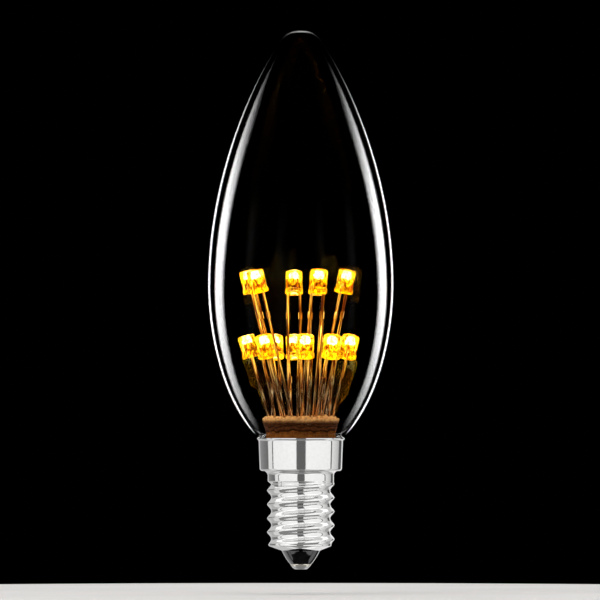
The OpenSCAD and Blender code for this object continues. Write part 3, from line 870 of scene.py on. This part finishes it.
@dataclass
class DiodeCluster:
    """Two tiers of flat-topped diodes on stamped leads. Sizes in mm, azimuths in degrees."""

    board_top: float = 30.7
    body_d: float = 3.4
    body_h: float = 4.6
    flange_d: float = 3.7
    flange_h: float = 0.8
    flat: float = 0.1
    edge_r: float = 0.3
    lead_pitch: float = 2.54
    lead_w: float = 0.46
    lead_t: float = 0.4
    tail: float = 1.9
    stub_drop: float = 4.0
    stub_h: float = 1.4
    stub_w: float = 0.8
    cup_d: float = 1.2
    cup_h: float = 0.8
    cup_rise: float = 2.2
    upper: tuple[tuple[float, float], ...] = ((-100, -82), (-40, -57), (20, 20), (80, 60), (140, 160), (200, 188))
    lower: tuple[tuple[float, float], ...] = (
        (5, 5), (50, 37), (90, 68), (140, 141), (185, 187), (230, 212), (275, 273), (320, 318))
    stands: list[Stand] = field(default_factory=list)

    def __post_init__(self) -> None:
        """Works out where each diode stands."""
        top = self.board_top
        for i, (foot, head) in enumerate(self.upper, 1):
            self.stands.append(Stand(f"upper_diode_{i}", around(3.7, foot, top), around(9.9, head, top + 25.5), head))
        for i, (foot, head) in enumerate(self.lower, 1):
            self.stands.append(Stand(f"lower_diode_{i}", around(6.45, foot, top), around(9.95, head, top + 12.4), foot))

    def lead_feet(self) -> list[Vector]:
        """Where every lead meets the board, in metres."""
        return [stand.lead_foot(side, self.lead_pitch, self.board_top) for stand in self.stands for side in (-1, 1)]

    def body(self) -> bmesh.types.BMesh:
        """One diode's body, standing on the origin, with the lit resin inside it."""
        r = self.body_d / 2
        line = [(0.0, 0.0), (self.flange_d / 2 - 0.08, 0.0), (self.flange_d / 2, 0.08)]
        line += [(self.flange_d / 2, self.flange_h - 0.08), (self.flange_d / 2 - 0.08, self.flange_h)]
        line += [(r, self.flange_h), (r, self.body_h * 0.4), (r, self.body_h * 0.7)]
        line += arc((r - self.edge_r, self.body_h - self.edge_r), self.edge_r, 0, 90, 6)
        line += [(r * 0.5, self.body_h - 0.04), (0.0, self.body_h - 0.08)]
        bm = lathe(line, 48)
        cut = bmesh.ops.bisect_plane(
            bm,
            geom=bm.verts[:] + bm.edges[:] + bm.faces[:],
            plane_co=(-(self.flange_d / 2 - self.flat) * MM, 0, 0),
            plane_no=(-1, 0, 0),
            clear_outer=True,
        )
        rim = [edge for edge in cut["geom_cut"] if isinstance(edge, bmesh.types.BMEdge)]
        bmesh.ops.contextual_create(bm, geom=rim)
        low, high = self.cup_rise + 0.3, self.body_h - 0.2
        place = Matrix.Translation((0, 0, (low + high) / 2 * MM)) @ Matrix.Diagonal((0.68, 0.68, (high - low) / 2, 1))
        core = bmesh.ops.create_icosphere(bm, subdivisions=4, radius=MM, matrix=place)["verts"]
        for vert in core:
            lump = noise.fractal(vert.co / (0.5 * MM), 1.0, 2.0, 2)
            middle = Vector((0, 0, (low + high) / 2 * MM))
            vert.co = middle + (vert.co - middle) * (1 + 0.2 * lump)
        for face in {face for vert in core for face in vert.link_faces}:
            face.material_index = 1
        along = bm.loops.layers.uv.new("along")
        for face in bm.faces:
            for loop in face.loops:
                place = loop.vert.co / MM
                loop[along].uv = (place.xy.length / r, place.z / self.body_h)
        return bm

    def build_bodies(self, epoxy: bpy.types.Material, resin: bpy.types.Material) -> None:
        """Makes each diode's body on its own leads.

        Args:
            epoxy: The clear amber resin.
            resin: The lit resin above the cup.
        """
        for stand in self.stands:
            bm = self.body()
            lift = Matrix.Translation((0, 0, (stand.head - stand.foot).length * MM))
            bmesh.ops.transform(bm, matrix=stand.matrix() @ lift, verts=bm.verts)
            name = stand.node.replace("diode", "lit_diode")
            piece(bm, name, [epoxy, resin], [stand.node])

    def lead_lines(self, base: float) -> tuple[Outline, Outline]:
        """Flat outlines of the cathode, which carries the cup, and of the anode.

        Args:
            base: Distance from the board up to the diode's base.

        Returns:
            The two outlines as (across, up).
        """
        x, w, s = self.lead_pitch / 2, self.lead_w / 2, self.stub_w / 2
        high, low = base - self.stub_drop, base - self.stub_drop - self.stub_h
        cup, rim = base + self.cup_rise, base + self.cup_rise + self.cup_h
        cathode = [(-x - w, -self.tail), (-x + w, -self.tail), (-x + w, low), (-x + s, low), (-x + s, high),
                   (-x + w, high), (-x + w, base + 0.7), (self.cup_d / 2 - 0.15, cup), (-self.cup_d / 2, cup),
                   (-x - w, base + 1.4), (-x - w, high), (-x - s, high), (-x - s, low), (-x - w, low)]
        anode = [(x - w, -self.tail), (x + w, -self.tail), (x + w, low), (x + s, low), (x + s, high),
                 (x + w, high), (x + w, rim), (x - 1.2 * w, rim), (x - 1.2 * w, cup + 0.3), (x - w, base + 1.6),
                 (x - w, high), (x - s, high), (x - s, low), (x - w, low)]
        return cathode, anode

    def leads(self, base: float) -> bmesh.types.BMesh:
        """Both stamped leads of a diode with the reflector cup, standing on the board.

        Args:
            base: Distance from the board up to the diode's base.

        Returns:
            The mesh, with a UV map whose V runs from the board to the diode.
        """
        cup, r = base + self.cup_rise, self.cup_d / 2
        dish = [(0.0, cup), (r, cup), (r, cup + self.cup_h), (r * 0.85, cup + self.cup_h),
                (r * 0.5, cup + self.cup_h * 0.4), (0.0, cup + self.cup_h * 0.4)]
        bm = lathe(dish, 24)
        for outline in self.lead_lines(base):
            verts = [bm.verts.new((across * MM, -self.lead_t / 2 * MM, up * MM)) for across, up in outline]
            flat = bm.faces.new(verts)
            grown = bmesh.ops.extrude_face_region(bm, geom=[flat])["geom"]
            moved = [item for item in grown if isinstance(item, bmesh.types.BMVert)]
            bmesh.ops.translate(bm, verts=moved, vec=(0, self.lead_t * MM, 0))
            edges = {edge for vert in verts + moved for edge in vert.link_edges}
            bmesh.ops.bevel(bm, geom=list(edges), offset=0.05 * MM, offset_type="OFFSET", segments=2, profile=0.5,
                            affect="EDGES", material=-1)
        bmesh.ops.recalc_face_normals(bm, faces=bm.faces)
        along = bm.loops.layers.uv.new("along")
        for face in bm.faces:
            for loop in face.loops:
                place = loop.vert.co / MM
                loop[along].uv = (place.x + place.y, place.z / base)
        return bm

    def build_leads(self) -> list[bpy.types.Object]:
        """Makes every diode's leads, bevelled so that their edges catch the light."""
        tins = {"upper": LeadWithPaintedGlow("upper_lead_tin_painted_glow", 0.3).build(), "lower": LeadWithPaintedGlow("lower_lead_tin_painted_glow", 0.6).build()}
        made = []
        for stand in self.stands:
            bm = self.leads((stand.head - stand.foot).length)
            bmesh.ops.transform(bm, matrix=stand.matrix(), verts=bm.verts)
            tier = stand.node.split("_")[0]
            name = stand.node.replace("diode", "tinned_leads")
            made.append(piece(bm, name, [tins[tier]], [stand.node.replace("diode", "leads")], 50))
        return made


@dataclass
class Driver:
    """The parts inside the cap, which keep their CAD shapes."""

    finishes: dict[str, Coated] = field(
        default_factory=lambda: {
            "capping_cement": Coated("capping_cement", (0.62, 0.52, 0.38), (0.42, 0.33, 0.22), 0.9, 0.5, 0.1),
            "driver_board": Coated("driver_laminate", (0.03, 0.2, 0.06), (0.02, 0.13, 0.04), 0.35, 0.9, 0.01, 0.4),
            "film_capacitor": Coated("dipped_film", (0.5, 0.03, 0.02), (0.36, 0.02, 0.015), 0.3, 1.2, 0.05, 0.5),
            "smoothing_capacitor": Coated("can_sleeve", (0.02, 0.025, 0.07), (0.015, 0.02, 0.05), 0.3, 0.8, 0.01),
            "bridge_rectifier": Coated("black_moulding", (0.02, 0.02, 0.02), (0.03, 0.03, 0.03), 0.6, 0.3, 0.03),
            "fusible_resistor": Coated("resistor_enamel", (0.1, 0.22, 0.4), (0.07, 0.17, 0.32), 0.35, 0.5, 0.03, 0.3),
            "diode_wires": Coated("wire_insulation", (0.55, 0.02, 0.015), (0.4, 0.015, 0.01), 0.4, 0.7, 0.01),
        }
    )

    def dress_parts(self, solder: bpy.types.Material, tin: bpy.types.Material, lit: bpy.types.Material) -> None:
        """Gives every part in the cap its finish.

        Args:
            solder: Finish of the soldered joints.
            tin: Finish of the bare wires.
            lit: Finish of the glowing chips.
        """
        for node, finish in self.finishes.items():
            dress(node, finish.build())
        for node in ("lead_solder", "shell_solder"):
            dress(node, solder)
        for node in ("live_wire", "shell_wire"):
            dress(node, tin)
        dress("diode_chips", lit)


# Studio


@dataclass(frozen=True)
class Panel:
    """A soft panel of light that stands round the lamp. Sizes in metres, azimuths in degrees."""

    name: str
    start: float
    end: float
    low: float
    high: float
    distance: float
    radiance: float
    ends: tuple[float, float] = (1.0, 1.0)
    feather: float = 0.0
    foot_fade: float = 0.0
    top_fade: float = 0.0
    lean: float = 0.0
    diffuse: bool = False

    def step(self, tree: bpy.types.NodeTree, value: bpy.types.NodeSocket, rise: Sequence[float],
             kind: str = "SMOOTHSTEP") -> bpy.types.NodeSocket:
        """Maps a coordinate of the panel to a share of its light.

        Args:
            tree: The lamp's nodes.
            value: The coordinate, from 0 to 1.
            rise: Where the share starts and ends, then the two shares.
            kind: How it runs between them.

        Returns:
            The share.
        """
        made = tree.nodes.new("ShaderNodeMapRange")
        made.interpolation_type = kind
        for socket, number in zip(("From Min", "From Max", "To Min", "To Max"), rise):
            made.inputs[socket].default_value = number
        tree.links.new(value, made.inputs["Value"])
        return made.outputs["Result"]

    def shade(self, light: bpy.types.Light) -> None:
        """Softens the panel's edges and lets it run from its start's share to its end's."""
        light.use_nodes = True
        tree = light.node_tree
        emission = next(node for node in tree.nodes if node.type == "EMISSION")
        place = tree.nodes.new("ShaderNodeSeparateXYZ")
        tree.links.new(tree.nodes.new("ShaderNodeNewGeometry").outputs["Parametric"], place.inputs[0])
        across, up = place.outputs["X"], place.outputs["Y"]
        shares = [self.step(tree, across, (0, 1, *self.ends), "LINEAR")]
        if self.feather:
            shares.append(self.step(tree, across, (0, self.feather, 0, 1)))
            shares.append(self.step(tree, across, (1 - self.feather, 1, 1, 0)))
        if self.foot_fade:
            shares.append(self.step(tree, up, (0, self.foot_fade, 0, 1)))
        if self.top_fade:
            shares.append(self.step(tree, up, (1 - self.top_fade, 1, 1, 0)))
        for share in shares[1:]:
            product = tree.nodes.new("ShaderNodeMath")
            product.operation = "MULTIPLY"
            tree.links.new(shares[0], product.inputs[0])
            tree.links.new(share, product.inputs[1])
            shares[0] = product.outputs[0]
        tree.links.new(shares[0], emission.inputs["Strength"])

    def build(self) -> bpy.types.Object:
        """Makes the lamp, upright and facing the axis."""
        middle, half = (self.start + self.end) / 2, math.radians(abs(self.end - self.start)) / 2
        wide, tall = 2 * self.distance * math.tan(half), self.high - self.low
        light = bpy.data.lights.new(self.name, "AREA")
        light.shape = "RECTANGLE"
        light.size, light.size_y = wide, tall
        light.energy = self.radiance * math.pi * wide * tall
        self.shade(light)
        made = bpy.data.objects.new(self.name, light)
        made.location = around(self.distance, middle, (self.low + self.high) / 2)
        inwards = Vector((-made.location.x, -made.location.y, 0))
        upright = inwards.to_track_quat("-Z", "Y").to_matrix()
        made.rotation_euler = (upright @ Matrix.Rotation(math.radians(self.lean), 3, "Z")).to_euler()
        made.visible_camera = made.visible_transmission = False
        made.visible_diffuse = self.diffuse
        made.visible_glossy = not self.diffuse
        bpy.context.scene.collection.objects.link(made)
        return made


@dataclass(frozen=True)
class Sheet:
    """A level panel of light above or below the lamp, in metres."""

    name: str
    height: float
    size: float
    radiance: float
    diffuse: bool = False

    def build(self) -> bpy.types.Object:
        """Makes the lamp, facing the tip contact."""
        light = bpy.data.lights.new(self.name, "AREA")
        light.shape = "SQUARE"
        light.size = self.size
        light.energy = self.radiance * math.pi * self.size**2
        made = bpy.data.objects.new(self.name, light)
        made.location = (0, 0, self.height)
        made.rotation_euler = (0 if self.height > 0 else math.pi, 0, 0)
        made.visible_camera = made.visible_transmission = False
        made.visible_diffuse = self.diffuse
        made.visible_glossy = not self.diffuse
        bpy.context.scene.collection.objects.link(made)
        return made


@dataclass
class Studio:
    """Camera, pale floor, dark surroundings and soft light. Lengths in metres."""

    distance: float = 2.0
    height: float = 0.03
    aim: float = 0.05474
    lens: float = 590.2
    floor_z: float = -0.0051
    floor_r: float = 0.14
    fill: float = 0.8

    def build_camera(self) -> None:
        """Sets the camera at the photograph's angle."""
        camera = bpy.data.cameras.new("camera")
        camera.lens, camera.sensor_width = self.lens, 36
        camera.clip_start, camera.clip_end = 0.01, 10
        made = bpy.data.objects.new("camera", camera)
        made.location = (-0.00016, -self.distance, self.height)
        made.rotation_euler = (math.pi / 2 + math.atan((self.aim - self.height) / self.distance), 0, 0)
        bpy.context.scene.collection.objects.link(made)
        bpy.context.scene.camera = made

    def build_floor(self) -> bpy.types.Object:
        """Makes the plain pale floor below the lamp, which mirror images leave out."""
        bm = bmesh.new()
        bmesh.ops.create_circle(bm, cap_ends=True, segments=128, radius=self.floor_r,
                                matrix=Matrix.Translation((0, 0, self.floor_z)))
        mesh = bpy.data.meshes.new("floor")
        bm.to_mesh(mesh)
        bm.free()
        made = bpy.data.objects.new("floor", mesh)
        bpy.context.scene.collection.objects.link(made)
        graph = Graph("pale_floor")
        shader = graph.surface((0.56, 0.55, 0.54), 0.8, Specular_IOR_Level=0.1)
        graph.link(graph.ramp(graph.speckle(40), [(0.3, (0.54, 0.53, 0.52)), (0.7, (0.58, 0.57, 0.56))]),
                   shader.inputs["Base Color"])
        clear = graph.node("ShaderNodeBsdfTransparent")
        mix = graph.node("ShaderNodeMixShader")
        mirrored = graph.maths("GREATER_THAN", graph.node("ShaderNodeLightPath").outputs["Glossy Depth"], 0.5)
        graph.link(mirrored, mix.inputs[0])
        graph.link(shader.outputs[0], mix.inputs[1])
        graph.link(clear.outputs[0], mix.inputs[2])
        graph.link(mix.outputs[0], graph.output.inputs["Surface"])
        mesh.materials.append(graph.material)
        return made

    def build_world(self) -> None:
        """Makes surroundings that are dark to the eye and in glass, and a soft fill for the rest."""
        world = bpy.data.worlds.new("studio")
        bpy.context.scene.world = world
        world.use_nodes = True
        tree = world.node_tree
        tree.nodes.clear()
        output = tree.nodes.new("ShaderNodeOutputWorld")
        mix = tree.nodes.new("ShaderNodeMixShader")
        path = tree.nodes.new("ShaderNodeLightPath")
        fill = tree.nodes.new("ShaderNodeBackground")
        fill.inputs["Strength"].default_value = self.fill
        fill.inputs["Color"].default_value = (1, 1, 1, 1)
        dark = tree.nodes.new("ShaderNodeBackground")
        dark.inputs["Color"].default_value = (0, 0, 0, 1)
        seen = path.outputs["Is Camera Ray"]
        for name in ("Is Glossy Ray", "Is Transmission Ray"):
            either = tree.nodes.new("ShaderNodeMath")
            either.operation = "MAXIMUM"
            tree.links.new(seen, either.inputs[0])
            tree.links.new(path.outputs[name], either.inputs[1])
            seen = either.outputs[0]
        tree.links.new(seen, mix.inputs[0])
        tree.links.new(fill.outputs[0], mix.inputs[1])
        tree.links.new(dark.outputs[0], mix.inputs[2])
        tree.links.new(mix.outputs[0], output.inputs["Surface"])

    def light_only(self, lamps: Iterable[bpy.types.Object], name: str, receivers: Iterable[bpy.types.Object],
                   state: str = "INCLUDE") -> None:
        """Limits lamps to some of the pieces.

        Args:
            lamps: The lamps.
            name: Name of the group of pieces.
            receivers: The pieces.
            state: INCLUDE to light only these, EXCLUDE to light all but these.
        """
        group = bpy.data.collections.new(name)
        for receiver in receivers:
            group.objects.link(receiver)
        for item in group.collection_objects:
            item.light_linking.link_state = state
        for lamp in lamps:
            lamp.light_linking.receiver_collection = group

    def light_glass(self, glass: bpy.types.Object) -> None:
        """Draws the two white lines down each side of the glass, the arc at its tip and a line from the back."""
        lamps = [
            Panel("strip_right", 108, 134.5, -0.45, 0.52, 0.6, 19, (1.4, 1), 0.3, 0.74, 0.42, 13).build(),
            Panel("strip_left", -134.5, -108, -0.45, 0.52, 0.6, 19, (1, 1.4), 0.3, 0.74, 0.42, -13).build(),
            Panel("edge_right", 148, 163, -0.25, 0.31, 0.8, 4.8, (1, 1), 0.35, 0.1, 0.26).build(),
            Panel("edge_left", -163, -148, -0.25, 0.31, 0.8, 4.8, (1, 1), 0.35, 0.1, 0.26).build(),
            Panel("crown", 164, 196, 0.25, 1.0, 0.8, 1.3, (1, 1), 0.4, 0.2).build(),
        ]
        lamps += [
            Panel(f"outline_{i}", azimuth - 7, azimuth + 7, -0.25, 0.4, 0.8, radiance, (1, 1), 0.4, 0.1, 0.3).build()
            for i, (azimuth, radiance) in enumerate(((-66, 1.0), (-24, 2.0), (24, 2.0), (66, 1.0)))
        ]
        self.light_only(lamps, "lit_by_strips", [glass])

    def light_metal(self, metal: Sequence[bpy.types.Object], vitrite: bpy.types.Object) -> None:
        """Sets the cards that the cap mirrors: a grey one in front, white and grey ones round it.

        Args:
            metal: The cap's polished pieces.
            vitrite: The black insulator, which mirrors only the cards at its sides.
        """
        low, high, near, over, under = -0.6, 0.6, 0.5, 0.16, -0.12
        sides = [
            Panel("front_right", 13.5, 92, low, high, near, 1.05, (1, 0.94)).build(),
            Panel("front_left", -83, -12, low, high, near, 1.05, (0.93, 1)).build(),
            Panel("side_right", 96, 130, low, high, near, 0.85, (1, 0.6)).build(),
            Panel("side_left", -102, -86, low, high, near, 0.85).build(),
            Panel("grey_right", 130, 152, under, over, near, 0.1).build(),
            Panel("grey_left", -152, -102, under, over, near, 0.3, (1, 0.5)).build(),
            Panel("back_right", 152, 178, low, high, near, 0.85).build(),
            Panel("back_left", -178, -152, low, high, near, 0.6).build(),
        ]
        rest = [
            Panel("front_card", -11, 12.5, low, over, near, 0.13).build(),
            Panel("over_front", -11, 12.5, over, high, near, 0.9).build(),
            Panel("over_right", 130, 152, over, high, near, 0.6).build(),
            Panel("over_left", -152, -102, over, high, near, 0.6).build(),
            Panel("under_right", 130, 152, low, under, near, 0.4).build(),
            Panel("under_left", -152, -102, low, under, near, 0.5).build(),
            Sheet("ceiling", 0.62, 1.3, 0.7).build(),
            Sheet("ground", -0.62, 1.3, 0.25).build(),
        ]
        self.light_only(sides, "lit_by_cards", [*metal, vitrite])
        self.light_only(rest, "lit_by_front_card", metal)
        self.light_only([Panel("vitrite_card", -152, -110, low, over, near, 0.7).build()], "lit_by_vitrite_card", [vitrite])
        self.light_only([Sheet("contact_ground", -0.62, 1.3, 0.4).build()], "lit_by_contact_ground", metal[1:])

    def light_leads(self, leads: Iterable[bpy.types.Object]) -> None:
        """Sets narrow strips that glint along the leads."""
        lamps = [
            Panel(f"glint_{i}", azimuth - 3, azimuth + 3, -0.3, 0.6, 0.5, 4.0).build()
            for i, azimuth in enumerate((-145, -68, -24, 38, 80, 150))
        ]
        self.light_only(lamps, "lit_by_glints", leads)

    def light_rest(self, glass: bpy.types.Object) -> None:
        """Sets the soft plain light on everything inside the glass, the cap and the floor."""
        lamps = [
            Panel("key", -75, -15, 0.1, 0.7, 0.6, 1.8, diffuse=True).build(),
            Panel("fill", 20, 80, 0.0, 0.6, 0.6, 0.7, diffuse=True).build(),
            Sheet("top", 0.6, 0.8, 1.0, diffuse=True).build(),
        ]
        self.light_only(lamps, "lit_by_soft", [glass], "EXCLUDE")


def main() -> None:
    """Builds and dresses every sub-assembly, then the studio."""
    logging.basicConfig(level=logging.INFO, format="%(message)s")
    bpy.context.scene.view_settings.view_transform = "Standard"

    nickel = PolishedMetal("nickel_plate", (0.86, 0.86, 0.85), 0.07).build()
    solder = PolishedMetal("tin_solder", (0.78, 0.78, 0.77), 0.3, 0.5, 0.1, 0.02).build()
    brass = PolishedMetal("eyelet_brass", (0.84, 0.8, 0.7), 0.18).build()
    tin = PolishedMetal("tinned_wire", (0.8, 0.8, 0.78), 0.25).build()
    vitrite = Coated("black_vitrite", (0.006, 0.006, 0.006), (0.004, 0.004, 0.004), 0.08, 1.5, 0.01, 1.0).build()

    envelope = GlassEnvelope().build(ClearGlass().build())

    cap = ScrewCap()
    shell = cap.build_shell(nickel)
    insulator = cap.build_insulator(vitrite)
    cap.build_contact(brass, solder)

    cluster = DiodeCluster()
    lit = LitResin().build()
    cluster.build_bodies(AmberEpoxy().build(), lit)
    leads = cluster.build_leads()

    carrier = DiodeCarrier()
    # The board's bands run from near-black at its foot to pale orange at its top: painted light of the diodes above it,
    # over the resin's own darker bands.
    carrier.build_board(
        BandedResin("board_laminate", 29.6, 30.7,
                    ((0.0, (0.03, 0.007, 0.002)), (0.16, (0.07, 0.024, 0.007)), (0.36, (0.16, 0.07, 0.025)),
                     (0.56, (0.27, 0.12, 0.038)), (0.7, (0.6, 0.31, 0.1)), (0.88, (0.78, 0.43, 0.15))),
                    0.2).build())
    carrier.build_plug(
        BandedResin("carrier_resin", 26.65, 29.6,
                    ((0.0, (0.2, 0.066, 0.009)), (0.2, (0.28, 0.095, 0.014)), (0.45, (0.22, 0.074, 0.013)),
                     (0.54, (0.025, 0.006, 0.001)), (0.61, (0.04, 0.01, 0.002)), (0.7, (0.12, 0.042, 0.014)),
                     (0.78, (0.11, 0.038, 0.012)), (0.85, (0.02, 0.005, 0.001)), (0.92, (0.07, 0.022, 0.006)))).build())
    carrier.build_glue(
        cluster.lead_feet(),
        Coated("crumbly_glue", (0.95, 0.56, 0.19), (0.5, 0.22, 0.06), 0.85, 0.5, 0.12).build())
    Driver().dress_parts(solder, tin, lit)

    studio = Studio()
    studio.build_camera()
    studio.build_floor()
    studio.build_world()
    studio.light_glass(envelope)
    studio.light_metal([shell, bpy.data.objects["eyelet"], bpy.data.objects["solder_dome"]], insulator)
    studio.light_leads(leads)
    studio.light_rest(envelope)


if __name__ == "__main__":
    main()
